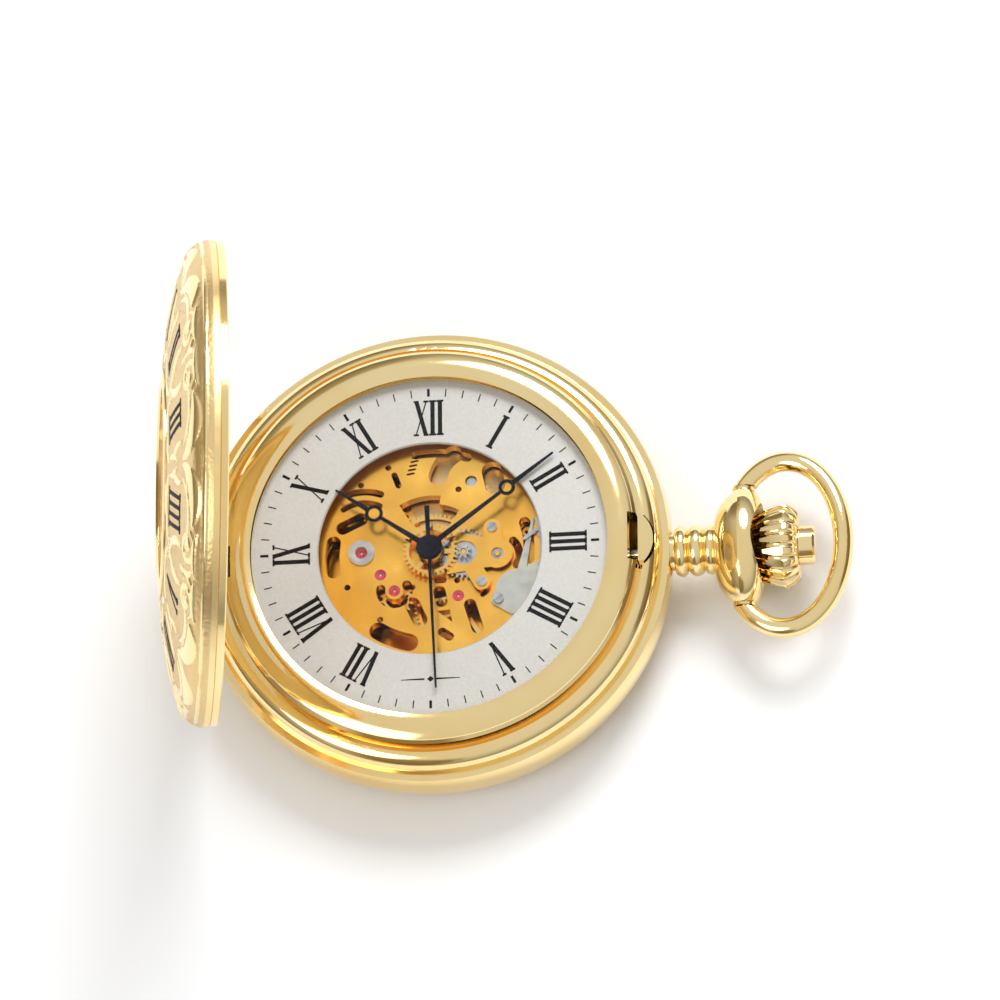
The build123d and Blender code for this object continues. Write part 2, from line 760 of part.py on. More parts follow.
def setting_cover():
    """Grey steel cover plate by the keyless works."""
    plan = Pos(8.4, -4.3) * Circle(2.15) + taper((8.4, -4.3), (11.6, -1.6), 3.6, 1.4)
    plan += bar(COVER_SCREW, (8.0, -6.0), 1.5) + taper((8.8, -2.6), (10.05, 3.1), 0.9, 0.2)
    plan -= Pos(*COVER_SCREW) * Circle(0.28)
    return slab(plan, PLATE_TOP + 0.01, PLATE_TOP + 0.28)


def setting_lever():
    """Lever beside the stem."""
    plan = bar((11.9, 2.0), (13.9, 3.2), 1.1) + bar((11.9, 2.0), (10.6, 1.4), 0.42)
    return slab(plan, PLATE_TOP + 0.01, PLATE_TOP + 0.26)


def yoke():
    """Thin spring lever that holds the clutch."""
    plan = arc_slot((0, 0), 10.9, 0.4, -8, 16) + bar((10.9, 2.2), (9.2, 1.0), 0.35)
    plan += bar(polar(10.9, -8), polar(12.6, -9), 0.5)
    return slab(plan, PLATE_TOP + 0.29, PLATE_TOP + 0.45)


# ---------------------------------------------------------------- hands


def hand(towards, tip, eye, eye_r, eye_hole, hub_r, bore, low, high):
    """Slim hand with a pierced ring near its tip."""
    eye_at = polar(eye, towards)
    plan = Circle(hub_r) + taper((0, 0), eye_at, 0.62, 0.3) + Pos(*eye_at) * Circle(eye_r)
    plan += taper(polar(eye + eye_hole, towards), polar(tip, towards), 0.5, 0.2)
    plan -= Pos(*eye_at) * Circle(eye_hole)
    plan -= Circle(bore)
    return slab(plan, low, high)


def hour_hand():
    """Short hand on the hour wheel's pipe."""
    return hand(HOUR_DIR, 11.2, 6.6, 0.88, 0.55, hub_r=1.3, bore=0.99, low=0.2, high=0.31)


def minute_hand():
    """Long hand on the cannon pinion."""
    return hand(MINUTE_HAND_DIR, 15.3, 9.6, 0.82, 0.48, hub_r=1.1, bore=0.67, low=0.44, high=0.54)


def seconds_hand():
    """Plain sweep hand with a tail."""
    plan = Circle(0.7) + taper((0, 0), polar(14.8, SECONDS_DIR), 0.36, 0.2)
    plan += taper((0, 0), polar(4.2, SECONDS_DIR + 180), 0.36, 0.5)
    body = slab(plan, 0.64, 0.72)
    return body - disc(0.2, 0, 0.68)


# ---------------------------------------------------------------- wheel train


CENTRE_MODULE = 2 * TRAIN_DIST / (CENTRE_T + THIRD_PINION_T)
THIRD_MODULE = 2 * TRAIN_DIST / (THIRD_T + FOURTH_PINION_T)
FOURTH_MODULE = 2 * TRAIN_DIST / (FOURTH_T + ESCAPE_PINION_T)
BARREL_MODULE = 2 * BARREL_DIST / (BARREL_T + CENTRE_PINION_T)
WINDING_MODULE = 2 * CROWN_WHEEL_DIST / (CROWN_WHEEL_T + RATCHET_T)


def center_wheel():
    """First wheel and its pinion on a hollow arbor."""
    body = wheel(CENTRE_T, CENTRE_MODULE, THIRD_DIR, (0, 0), -3.24, -3.02, 1.1, 4)
    body += wheel(CENTRE_PINION_T, BARREL_MODULE, BARREL_DIR, (0, 0), -4.3, -3.24)
    body += disc(0.44, -4.3, 0.5)
    return body - disc(0.26, -5, 2)


def third_wheel():
    """Second wheel of the train."""
    phase = mesh_phase(CENTRE_T, THIRD_DIR, THIRD_PINION_T, THIRD_DIR)
    body = wheel(THIRD_PINION_T, CENTRE_MODULE, phase, THIRD, -3.5, -2.98)
    body += wheel(THIRD_T, THIRD_MODULE, THIRD_DIR + 180, THIRD, -4.8, -4.6, 0.9, 4)
    return body + arbor(THIRD, 0.25, -5.3, -3.0)


def fourth_wheel():
    """Seconds wheel with its long centre arbor."""
    phase = mesh_phase(THIRD_T, THIRD_DIR + 180, FOURTH_PINION_T, THIRD_DIR + 180)
    body = wheel(FOURTH_PINION_T, THIRD_MODULE, phase, (0, 0), -4.95, -4.45)
    body += wheel(FOURTH_T, FOURTH_MODULE, ESCAPE_DIR, (0, 0), -5.22, -5.02, 0.9, 5)
    return body + disc(0.19, -5.4, 0.66) + disc(PIVOT_R, BRIDGE_LOW + 0.1, -5.3)


def escape_wheel():
    """Escape wheel of fifteen pointed teeth on its pinion."""
    points = []
    for tooth in range(15):
        start = tooth * 24
        for turn, radius in ((0, ESCAPE_R), (2.5, ESCAPE_R), (8, 1.42), (20, 1.36)):
            points.append(polar(radius, start + turn))
    plan = make_face(Polyline(*points, close=True)) - spoke_gaps(0.55, 1.12, 4, 0.24)
    phase = mesh_phase(FOURTH_T, ESCAPE_DIR, ESCAPE_PINION_T, ESCAPE_DIR)
    body = slab(Pos(*ESCAPE) * plan, -3.72, -3.52)
    body += wheel(ESCAPE_PINION_T, FOURTH_MODULE, phase, ESCAPE, -5.35, -4.9)
    return body + arbor(ESCAPE, 0.2, -5.4, -3.3)


def barrel():
    """Open drum of the mainspring with its ring of teeth."""
    body = disc(6.5, -4.85, -3.62, *BARREL)
    phase = mesh_phase(CENTRE_PINION_T, BARREL_DIR, BARREL_T, BARREL_DIR)
    body += wheel(BARREL_T, BARREL_MODULE, phase, BARREL, -4.2, -3.62)
    body -= disc(6.15, -4.65, -3, *BARREL)
    return body - disc(1.08, -6, -3, *BARREL)


def barrel_cover():
    """Lid of the drum on the dial side."""
    return disc(6.4, -3.6, -3.4, *BARREL) - disc(1.08, -6, -3, *BARREL)


def mainspring():
    """Coiled strip inside the drum."""
    return spiral(2.4, 5.9, 7, 0.14, -4.6, -3.7, BARREL)


def barrel_arbor():
    """Axle of the barrel, turned by the ratchet wheel."""
    body = disc(1.0, -5.84, -3.45, *BARREL) + disc(0.5, -3.5, -2.0, *BARREL)
    return body + slab(Pos(*BARREL) * Rectangle(1.2, 1.2), -6.25, -5.8)


def ratchet_wheel():
    """Wheel on the barrel arbor's square."""
    phase = mesh_phase(CROWN_WHEEL_T, 0, RATCHET_T, direction(CROWN_WHEEL, BARREL))
    body = wheel(RATCHET_T, WINDING_MODULE, phase, BARREL, -6.25, -5.9)
    return body - slab(Pos(*BARREL) * Rectangle(1.24, 1.24), -7, -5)


def crown_wheel():
    """Wheel between the winding pinion and the ratchet wheel."""
    body = wheel(CROWN_WHEEL_T, WINDING_MODULE, 0, CROWN_WHEEL, -6.25, -5.9)
    return body - disc(1.06, -7, -5, *CROWN_WHEEL)


def winding_screws():
    """Screw of the crown wheel."""
    screw = disc(1.5, -6.55, -6.3, *CROWN_WHEEL) + disc(0.34, -6.4, -5.6, *CROWN_WHEEL)
    return screw - slab(Pos(*CROWN_WHEEL) * Rectangle(4, 0.3), -7, -6.42)


def click():
    """Pawl beside the ratchet wheel."""
    pivot = polar(6.75, 118, *BARREL)
    plan = Pos(*pivot) * Circle(0.7) + taper(pivot, polar(6.1, 100, *BARREL), 0.9, 0.25)
    return slab(plan & Circle(16.5), BRIDGE_LOW - 0.4, BRIDGE_LOW - 0.01)


def click_spring():
    """Bent wire that presses the pawl."""
    plan = arc_slot(BARREL, 7.4, 0.2, 60, 106) & Circle(16.7)
    return slab(plan, BRIDGE_LOW - 0.3, BRIDGE_LOW - 0.01)


# ---------------------------------------------------------------- keyless works


def winding_pinion():
    """Pinion on the stem that drives the crown wheel."""
    module = 2 * 1.25 / WINDING_T
    plan = toothed(WINDING_T, module, 180, 0.7, 1.2) - Circle(0.5)
    return Pos(14.05, 0, DIAL_Z + STEM_H) * extrude(Plane.YZ * plan, 1.3)


def clutch():
    """Sliding pinion on the stem's square."""
    return turned_x(
        (11.7, 0.52),
        (11.7, 1.1),
        (12.4, 1.1),
        (12.4, 0.8),
        (13.2, 0.8),
        (13.2, 1.2),
        (13.98, 1.2),
        (13.98, 0.52),
    )


# ---------------------------------------------------------------- escapement and balance


def pallet_fork():
    """Lever with its fork towards the balance."""
    reach = math.dist(PALLET, BALANCE) - 1.12
    end = polar(reach, LEVER_DIR, *PALLET)
    plan = Pos(*PALLET) * Circle(0.24) + taper(PALLET, end, 0.4, 0.34) + Pos(*end) * Circle(0.28)
    for side in (-1, 1):
        plan += taper(PALLET, polar(1.25, LEVER_DIR + side * 88, *PALLET), 0.5, 0.34)
    plan -= Pos(*polar(reach + 0.28, LEVER_DIR, *PALLET)) * Circle(0.26)
    body = slab(plan, -3.72, -3.52)
    return body + arbor(PALLET, 0.16, -3.8, -3.3, bottom=-4.0)


def pallet_stones():
    """Two stones held by the fork's arms."""
    stones = []
    for side in (-1, 1):
        tail = polar(1.1, LEVER_DIR + side * 88, *PALLET)
        nose = polar(ESCAPE_R + 0.14, direction(ESCAPE, tail), *ESCAPE)
        stones.append(slab(taper(tail, nose, 0.26, 0.26), -3.84, -3.74))
    return Compound(stones)


def balance_wheel():
    """Balance with two arms, rim screws, staff, roller and impulse pin."""
    rim = Circle(4.3) - Circle(3.85)
    rim += bar((-3.9, 0), (3.9, 0), 0.5) + Circle(0.7)
    body = slab(Pos(*BALANCE) * Rot(0, 0, 65) * rim, -4.68, -4.2)
    for i in range(12):
        place = polar(4.25, 30 * i, *BALANCE)
        screw = Pos(*place, DIAL_Z - 4.44) * Rot(0, 0, 30 * i) * Rot(0, 90, 0) * Cylinder(0.2, 0.62)
        body += screw
    body += disc(0.9, -4.0, -3.86, *BALANCE)
    body += disc(0.1, -3.9, -3.5, *polar(0.72, LEVER_DIR + 180, *BALANCE))
    return body + arbor(BALANCE, 0.22, -5.3, -3.2)


def hairspring():
    """Flat balance spring hung from the cock."""
    stud = disc(0.14, BRIDGE_TOP, -5.0, *polar(1.8, 0, *BALANCE))
    return spiral(0.6, 1.8, 8, 0.06, -5.12, -4.95, BALANCE) + stud


PARTS = {
    "case_band": case_band,
    "back_cover": back_cover,
    "bezel_ring": bezel_ring,
    "front_crystal": front_crystal,
    "dial": dial,
    "dial_feet": dial_feet,
    "movement_ring": movement_ring,
    "case_screws": case_screws,
    "pendant": pendant,
    "bow": bow,
    "crown": crown,
    "crown_cap": crown_cap,
    "winding_stem": winding_stem,
    "lid_catch": lid_catch,
    "lift_spring": lift_spring,
    "hinge_pin": hinge_pin,
    "lid_shell": lid_shell,
    "lid_rim": lid_rim,
    "lid_window_bezel": lid_window_bezel,
    "lid_window_crystal": lid_window_crystal,
    "main_plate": main_plate,
    "barrel_bridge": barrel_bridge,
    "train_bridge": train_bridge,
    "balance_cock": balance_cock,
    "regulator": regulator,
    "pallet_cock": pallet_cock,
    "bridge_screws": bridge_screws,
    "jewels": jewels,
    "balance_setting": balance_setting,
    "cannon_pinion": cannon_pinion,
    "hour_wheel": hour_wheel,
    "minute_wheel": minute_wheel,
    "setting_wheel": setting_wheel,
    "motion_cover": motion_cover,
    "motion_screws": motion_screws,
    "setting_cover": setting_cover,
    "setting_lever": setting_lever,
    "yoke": yoke,
    "hour_hand": hour_hand,
    "minute_hand": minute_hand,
    "seconds_hand": seconds_hand,
    "center_wheel": center_wheel,
    "third_wheel": third_wheel,
    "fourth_wheel": fourth_wheel,
    "escape_wheel": escape_wheel,
    "barrel": barrel,
    "barrel_cover": barrel_cover,
    "mainspring": mainspring,
    "barrel_arbor": barrel_arbor,
    "ratchet_wheel": ratchet_wheel,
    "crown_wheel": crown_wheel,
    "winding_screws": winding_screws,
    "click": click,
    "click_spring": click_spring,
    "winding_pinion": winding_pinion,
    "clutch": clutch,
    "pallet_fork": pallet_fork,
    "pallet_stones": pallet_stones,
    "balance_wheel": balance_wheel,
    "hairspring": hairspring,
}

for name, make in PARTS.items():
    export_step(make(), f"parts/{name}.step")
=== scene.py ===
import json
import math

import bmesh
import bpy
import numpy as np
from mathutils import Matrix, Vector


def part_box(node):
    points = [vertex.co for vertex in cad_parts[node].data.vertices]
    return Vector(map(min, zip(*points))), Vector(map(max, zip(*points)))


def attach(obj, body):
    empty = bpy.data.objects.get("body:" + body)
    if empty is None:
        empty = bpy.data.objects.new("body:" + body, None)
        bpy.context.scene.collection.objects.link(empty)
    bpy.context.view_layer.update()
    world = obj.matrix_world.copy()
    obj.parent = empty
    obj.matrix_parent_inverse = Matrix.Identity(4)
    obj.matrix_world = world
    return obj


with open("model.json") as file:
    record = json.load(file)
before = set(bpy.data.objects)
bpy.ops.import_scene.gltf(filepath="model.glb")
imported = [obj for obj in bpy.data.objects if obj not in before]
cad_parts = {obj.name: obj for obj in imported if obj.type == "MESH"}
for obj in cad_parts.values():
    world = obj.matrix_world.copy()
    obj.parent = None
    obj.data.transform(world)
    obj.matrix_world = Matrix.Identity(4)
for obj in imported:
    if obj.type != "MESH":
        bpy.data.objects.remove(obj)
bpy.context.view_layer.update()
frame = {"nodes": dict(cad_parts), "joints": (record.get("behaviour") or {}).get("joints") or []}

# Sizes in this script are in millimetres, in the watch's own frame, and MM turns them into scene units.
MM = 0.001

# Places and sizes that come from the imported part
DIAL_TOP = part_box("dial")[1].z / MM
LID_HINGE = next(j for j in frame["joints"] if j["name"] == "lid_hinge")
HINGE = Vector(LID_HINGE["pos_m"]) / MM
LID_OPEN = math.radians(-LID_HINGE["range_deg"][0])

# Printing on the dial, as radii
NUMERAL_IN, NUMERAL_OUT = 11.75, 15.45
TICK_IN, TICK_OUT = 15.85, 16.65
PRINT_DEPTH, PRINT_SINK = 0.02, 0.005
NUMERALS = ("XII", "I", "II", "III", "IIII", "V", "VI", "VII", "VIII", "IX", "X", "XI")

# The lid's dome: three points of each arc of its outline, as radius and height over the dial
DOME_TOP = ((21.4, 1.28), (16.6, 2.5), (11.1, 3.08))
DOME_SIDE = ((23.5, -1.0), (22.95, 0.35), (21.4, 1.28))
LID_NUMERAL_IN, LID_NUMERAL_OUT = 13.9, 18.9

# ---------------------------------------------------------------- materials


class Shader:
    """A Principled material that is built up node by node."""

    def __init__(self, name, color, metallic=0.0, roughness=0.4, **sockets):
        self.material = bpy.data.materials.new(name)
        self.material.use_nodes = True
        self.tree = self.material.node_tree
        self.principled = self.tree.nodes["Principled BSDF"]
        self.coords = self.tree.nodes.new("ShaderNodeTexCoord").outputs["Object"]
        self.set("Base Color", (*color, 1.0))
        self.set("Metallic", metallic)
        self.set("Roughness", roughness)
        for socket, value in sockets.items():
            self.set(socket.replace("_", " "), value)

    def set(self, socket, value):
        self.principled.inputs[socket].default_value = value

    def node(self, kind, **values):
        new = self.tree.nodes.new(kind)
        for name, value in values.items():
            setattr(new, name, value)
        return new

    def link(self, output, target):
        self.tree.links.new(output, target)

    def noise(self, scale, detail=3.0, stretch=(1, 1, 1)):
        mapping = self.node("ShaderNodeMapping")
        mapping.inputs["Scale"].default_value = stretch
        self.link(self.coords, mapping.inputs["Vector"])
        texture = self.node("ShaderNodeTexNoise")
        texture.inputs["Scale"].default_value = scale
        texture.inputs["Detail"].default_value = detail
        self.link(mapping.outputs["Vector"], texture.inputs["Vector"])
        return texture.outputs["Fac"]

    def spread(self, value, low, high, start=0.3, end=0.7):
        """Maps a texture's middle range onto low to high."""
        step = self.node("ShaderNodeMapRange")
        for name, number in (("From Min", start), ("From Max", end), ("To Min", low), ("To Max", high)):
            step.inputs[name].default_value = number
        self.link(value, step.inputs["Value"])
        return step.outputs["Result"]

    def mix_color(self, value, low, high, start=0.3, end=0.7):
        """Colours the surface between two tints by a texture."""
        mix = self.node("ShaderNodeMix", data_type="RGBA")
        mix.inputs["A"].default_value = (*low, 1.0)
        mix.inputs["B"].default_value = (*high, 1.0)
        self.link(self.spread(value, 0.0, 1.0, start, end), mix.inputs["Factor"])
        self.link(mix.outputs["Result"], self.principled.inputs["Base Color"])

    def rough(self, value, low, high):
        self.link(self.spread(value, low, high), self.principled.inputs["Roughness"])

    def bump(self, value, distance, strength=0.5):
        bump = self.node("ShaderNodeBump")
        bump.inputs["Strength"].default_value = strength
        bump.inputs["Distance"].default_value = distance * MM
        self.link(value, bump.inputs["Height"])
        self.link(bump.outputs["Normal"], self.principled.inputs["Normal"])


GOLD = (1.0, 0.80, 0.42)
GOLD_DEEP = (0.97, 0.71, 0.30)


def gold(name, roughness, light=GOLD, deep=GOLD_DEEP, grain=0.0, grain_scale=3000):
    """Gold plate with slightly uneven colour and gloss."""
    shader = Shader(name, light, 1.0, roughness)
    cloud = shader.noise(90)
    shader.mix_color(cloud, deep, light)
    shader.rough(shader.noise(400, 5), roughness * 0.8, roughness * 1.25)
    if grain:
        shader.bump(shader.noise(grain_scale, 4), grain)
    return shader.material


def plain_metal(name, dark, light, roughness, scale=600, stretch=(1, 1, 1), grain=0.004):
    """Steel or brass part with a fine grain."""
    shader = Shader(name, light, 1.0, roughness)
    grit = shader.noise(scale, 4, stretch)
    shader.mix_color(grit, dark, light)
    shader.rough(grit, roughness * 0.75, roughness * 1.3)
    shader.bump(shader.noise(scale * 4, 3, stretch), grain)
    return shader.material


def engraved_gold():
    """Gold whose stippled ground is duller than its raised scrolls, with painted shade: the sunk ground
    is given a darker gold colour by its depth.
    """
    shader = Shader("gold_engraved", GOLD, 1.0, 0.3)
    attribute = shader.node("ShaderNodeAttribute", attribute_name="relief")
    raised = shader.spread(attribute.outputs["Fac"], 0.0, 1.0, -0.1, 0.45)
    mix = shader.node("ShaderNodeMix", data_type="RGBA")
    # painted shade: the sunk ground gets a darker gold than the raised scrolls, by the relief height
    mix.inputs["A"].default_value = (0.80, 0.58, 0.27, 1.0)
    mix.inputs["B"].default_value = (*GOLD, 1.0)
    shader.link(raised, mix.inputs["Factor"])
    shader.link(mix.outputs["Result"], shader.principled.inputs["Base Color"])
    shader.link(shader.spread(raised, 0.36, 0.16, 0.0, 1.0), shader.principled.inputs["Roughness"])
    shader.bump(shader.noise(2500, 3), 0.006, 0.4)
    return shader.material


def dial_satin():
    """Silvered dial with a fine satin grain."""
    shader = Shader("dial_satin", (0.64, 0.63, 0.60), 0.2, 0.45)
    grain = shader.noise(5000, 3)
    shader.mix_color(grain, (0.60, 0.592, 0.562), (0.67, 0.662, 0.632))
    shader.rough(grain, 0.38, 0.5)
    shader.bump(grain, 0.006, 0.3)
    return shader.material


def black_paint(name, roughness=0.35):
    """Printing and enamel."""
    shader = Shader(name, (0.012, 0.012, 0.014), 0.0, roughness)
    shader.set("Specular IOR Level", 0.08)
    grain = shader.noise(4000, 3)
    shader.mix_color(grain, (0.003, 0.003, 0.004), (0.012, 0.012, 0.014))
    shader.bump(grain, 0.003, 0.3)
    return shader.material


def ruby():
    """Pivot stone."""
    shader = Shader("ruby", (0.55, 0.02, 0.08), 0.0, 0.08, Coat_Weight=0.6)
    cloud = shader.noise(1500, 2)
    shader.mix_color(cloud, (0.35, 0.0, 0.03), (0.75, 0.05, 0.13))
    return shader.material


def clear_glass(name):
    """Thin clear glass: mostly open, with a gloss that grows at the edges."""
    shader = Shader(name, (1, 1, 1), 0.0, 0.02)
    tree = shader.tree
    tree.nodes.remove(shader.principled)
    output = tree.nodes["Material Output"]
    open_part = shader.node("ShaderNodeBsdfTransparent")
    gloss = shader.node("ShaderNodeBsdfGlossy")
    gloss.inputs["Roughness"].default_value = 0.03
    fresnel = shader.node("ShaderNodeFresnel")
    fresnel.inputs["IOR"].default_value = 1.45
    smudge = shader.spread(shader.noise(60, 3), 0.25, 0.4)
    share = shader.node("ShaderNodeMath", operation="MULTIPLY")
    shader.link(fresnel.outputs["Fac"], share.inputs[0])
    shader.link(smudge, share.inputs[1])
    mix = shader.node("ShaderNodeMixShader")
    shader.link(share.outputs["Value"], mix.inputs["Fac"])
    shader.link(open_part.outputs["BSDF"], mix.inputs[1])
    shader.link(gloss.outputs["BSDF"], mix.inputs[2])
    shader.link(mix.outputs["Shader"], output.inputs["Surface"])
    return shader.material


GILT, GILT_DEEP = (1.0, 0.60, 0.12), (0.90, 0.44, 0.06)
polished = gold("gold_polished", 0.09)
satin = gold("gold_satin", 0.34, grain=0.0012)
engraved = engraved_gold()
gilt = gold("movement_gilt", 0.22, GILT, GILT_DEEP, 0.01, 1800)
wheel_brass = gold("wheel_brass", 0.16, (1.0, 0.68, 0.22), (0.92, 0.52, 0.12), 0.004)
tan_gilt = gold("gilt_tan", 0.3, (0.72, 0.50, 0.24), (0.55, 0.36, 0.15), 0.006, 1500)
steel = plain_metal("steel", (0.42, 0.42, 0.43), (0.66, 0.66, 0.66), 0.2)
grey_steel = plain_metal("grey_steel", (0.36, 0.37, 0.33), (0.44, 0.45, 0.41), 0.42, 900)
blued = plain_metal("black_steel", (0.008, 0.008, 0.012), (0.03, 0.03, 0.045), 0.18)
dial_face = dial_satin()
ink = black_paint("dial_ink")
enamel = black_paint("lid_enamel", 0.5)
stone = ruby()
glass = clear_glass("watch_glass")

LOOKS = (
    (
        polished,
        "bezel_ring back_cover pendant bow crown crown_cap lid_catch lid_rim lid_window_bezel case_band",
    ),
    (satin, "lid_shell dial_feet movement_ring"),
    (glass, "front_crystal lid_window_crystal"),
    (dial_face, "dial"),
    (gilt, "main_plate barrel_bridge train_bridge balance_cock pallet_cock motion_cover"),
    (wheel_brass, "center_wheel third_wheel fourth_wheel escape_wheel barrel balance_wheel hour_wheel"),
    (tan_gilt, "barrel_cover"),
    (grey_steel, "setting_cover mainspring lift_spring"),
    (
        steel,
        "cannon_pinion minute_wheel setting_wheel setting_lever yoke bridge_screws case_screws"
        " motion_screws winding_screws click click_spring ratchet_wheel crown_wheel winding_pinion clutch"
        " winding_stem barrel_arbor hairspring pallet_fork regulator balance_setting hinge_pin",
    ),
    (blued, "hour_hand minute_hand seconds_hand"),
    (stone, "jewels pallet_stones"),
)
for look, names in LOOKS:
    for name in names.split():
        mesh = frame["nodes"][name].data
        mesh.materials.clear()
        mesh.materials.append(look)

# ---------------------------------------------------------------- helpers for pieces


def add_piece(name, bm, look, body, smooth=False, place=None):
    """Turns a bmesh in millimetres into a piece that rides on a body."""
    bmesh.ops.recalc_face_normals(bm, faces=bm.faces)
    mesh = bpy.data.meshes.new(name)
    bm.to_mesh(mesh)
    bm.free()
    return link_piece(name, mesh, look, body, smooth, place)


def link_piece(name, mesh, look, body, smooth=False, place=None):
    """Places a mesh made in millimetres and lets it ride on a body."""
    mesh.transform(place or Matrix.Identity(4))
    mesh.transform(Matrix.Scale(MM, 4))
    mesh.materials.append(look)
    if smooth:
        mesh.shade_smooth()
    piece = bpy.data.objects.new(name, mesh)
    bpy.context.scene.collection.objects.link(piece)
    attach(piece, body)
    return piece


def lid_place():
    """Matrix that opens a piece made in the closed lid's place."""
    turn = Matrix.Rotation(-LID_OPEN, 4, "Y")
    return Matrix.Translation(HINGE) @ turn @ Matrix.Translation(-HINGE)


def arc_centre(points):
    """Centre and radius of the arc through three points."""
    (ax, ay), (bx, by), (cx, cy) = points
    d = 2 * (ax * (by - cy) + bx * (cy - ay) + cx * (ay - by))
    a2, b2, c2 = ax * ax + ay * ay, bx * bx + by * by, cx * cx + cy * cy
    x = (a2 * (by - cy) + b2 * (cy - ay) + c2 * (ay - by)) / d
    y = (a2 * (cx - bx) + b2 * (ax - cx) + c2 * (bx - ax)) / d
    return (x, y), math.hypot(ax - x, ay - y)


def arc_height(points):
    """Height of the arc through three points, as a function of radius."""
    (x, y), radius = arc_centre(points)
    return lambda r: y + math.sqrt(max(radius**2 - (r - x) ** 2, 0.0))


dome_top = arc_height(DOME_TOP)
dome_side = arc_height(DOME_SIDE)


def dome(radius):
    """Height of the lid's outer surface over the dial."""
    return dome_top(radius) if radius < DOME_TOP[0][0] else dome_side(radius)


def stroke(bm, place, corners, low, high, steps=1):
    """Prism over a quad of local (across, out) points; place maps a local point and a height to space."""
    a, b, c, d = corners
    rows = []
    for i in range(steps + 1):
        t = i / steps
        left = (a[0] + (d[0] - a[0]) * t, a[1] + (d[1] - a[1]) * t)
        right = (b[0] + (c[0] - b[0]) * t, b[1] + (c[1] - b[1]) * t)
        rows.append([bm.verts.new(place(*p, z)) for p in (left, right) for z in (low, high)])
    for first, second in zip(rows, rows[1:]):
        bm.faces.new((first[1], first[3], second[3], second[1]))
        bm.faces.new((first[0], second[0], second[2], first[2]))
        bm.faces.new((first[0], first[1], second[1], second[0]))
        bm.faces.new((first[2], second[2], second[3], first[3]))
    bm.faces.new((rows[0][0], rows[0][2], rows[0][3], rows[0][1]))
    bm.faces.new((rows[-1][0], rows[-1][1], rows[-1][3], rows[-1][2]))


# Roman letters: widths of the thick and thin strokes and of the serifs, and each letter's own width,
# all as shares of its height
WIDE, THIN, SERIF = 0.185, 0.055, 0.055
ADVANCE = {"I": 0.32, "V": 0.62, "X": 0.66}


def glyph_strokes(letter, weight):
    """Quads of one Roman letter in a box of unit height, with its left edge at 0."""
    width = ADVANCE[letter]
    middle = width / 2
    strokes = []

    def slanted(x0, x1, half):
        strokes.append(((x0 - half, 0), (x0 + half, 0), (x1 + half, 1), (x1 - half, 1)))

    def serif(x, y, half):
        y0, y1 = (0, SERIF) if y == 0 else (1 - SERIF, 1)
        strokes.append(((x - half, y0), (x + half, y0), (x + half, y1), (x - half, y1)))

    if letter == "I":
        slanted(middle, middle, weight * WIDE / 2)
        serif(middle, 0, 0.15)
        serif(middle, 1, 0.15)
    elif letter == "V":
        slanted(middle, 0.11, weight * WIDE / 2)
        slanted(middle, width - 0.09, THIN / 2)
        serif(0.12, 1, 0.12)
        serif(width - 0.1, 1, 0.09)
    else:
        slanted(width - 0.12, 0.12, weight * WIDE / 2)
        slanted(0.1, width - 0.1, THIN / 2)
        for x in (0.12, width - 0.12):
            serif(x, 0, 0.11)
            serif(x, 1, 0.11)
    return strokes


def numeral(bm, text, place, height, low, high, steps=1, weight=1.0):
    """Writes a Roman numeral centred on 0 across, standing from 0 to height outwards."""
    total = sum(ADVANCE[letter] for letter in text)
    x = -total / 2
    for letter in text:
        for index, quad in enumerate(glyph_strokes(letter, weight)):
            corners = [((x + u) * height * 0.62, v * height) for u, v in quad]
            stroke(bm, place, corners, low, high + index * 0.0008, steps)
        x += ADVANCE[letter]


def hour_direction(hour):
    """Direction of an hour from the centre, in radians."""
    return math.pi / 2 - hour * math.pi / 6


# ---------------------------------------------------------------- dial printing


def on_dial(direction, start):
    """Maps local across and out to the dial, with the letters' feet towards the centre."""
    out = Vector((math.cos(direction), math.sin(direction), 0))
    across = Vector((out.y, -out.x, 0))
    return lambda u, v, z: out * (start + v) + across * u + Vector((0, 0, DIAL_TOP + z))


def dial_numerals():
    """Printed hours, without the one at the foot."""
    bm = bmesh.new()
    for hour, text in enumerate(NUMERALS):
        if text == "VI":
            continue
        place = on_dial(hour_direction(hour), NUMERAL_IN)
        numeral(bm, text, place, NUMERAL_OUT - NUMERAL_IN, -PRINT_SINK, PRINT_DEPTH)
    return add_piece("dial_numerals", bm, ink, "case")


def dial_ticks():
    """Printed minutes, wider at the hours."""
    bm = bmesh.new()
    for minute in range(60):
        place = on_dial(math.pi / 2 - minute * math.pi / 30, 0)
        half = 0.13 if minute % 5 == 0 else 0.055
        corners = ((-half, TICK_IN), (half, TICK_IN), (half, TICK_OUT), (-half, TICK_OUT))
        stroke(bm, place, corners, -PRINT_SINK, PRINT_DEPTH)
    return add_piece("dial_ticks", bm, ink, "case")


def dial_ornament():
    """Small plain lozenge and two tapered lines at the foot of the dial."""
    bm = bmesh.new()
    place = on_dial(hour_direction(6), 0)
    middle = 13.6
    for side in (-1, 1):
        near, far = side * 0.6, side * 2.9
        line = ((near, middle - 0.09), (near, middle + 0.09), (far, middle + 0.03), (far, middle - 0.03))
        stroke(bm, place, line, -PRINT_SINK, PRINT_DEPTH)
    lozenge = ((-0.34, middle), (0, middle - 0.3), (0.34, middle), (0, middle + 0.3))
    stroke(bm, place, lozenge, -PRINT_SINK, PRINT_DEPTH)
    return add_piece("dial_ornament", bm, ink, "case")


# ---------------------------------------------------------------- lid relief

# One of twelve cells, centred on an hour; u runs round the lid and v outwards along the dome, and
# alternate cells are mirrored. Each stroke is its points, its widest half-width and its height.
CELL_R = 20.0
CELL_W = 2 * math.pi * CELL_R / 12
GAP = CELL_W / 2


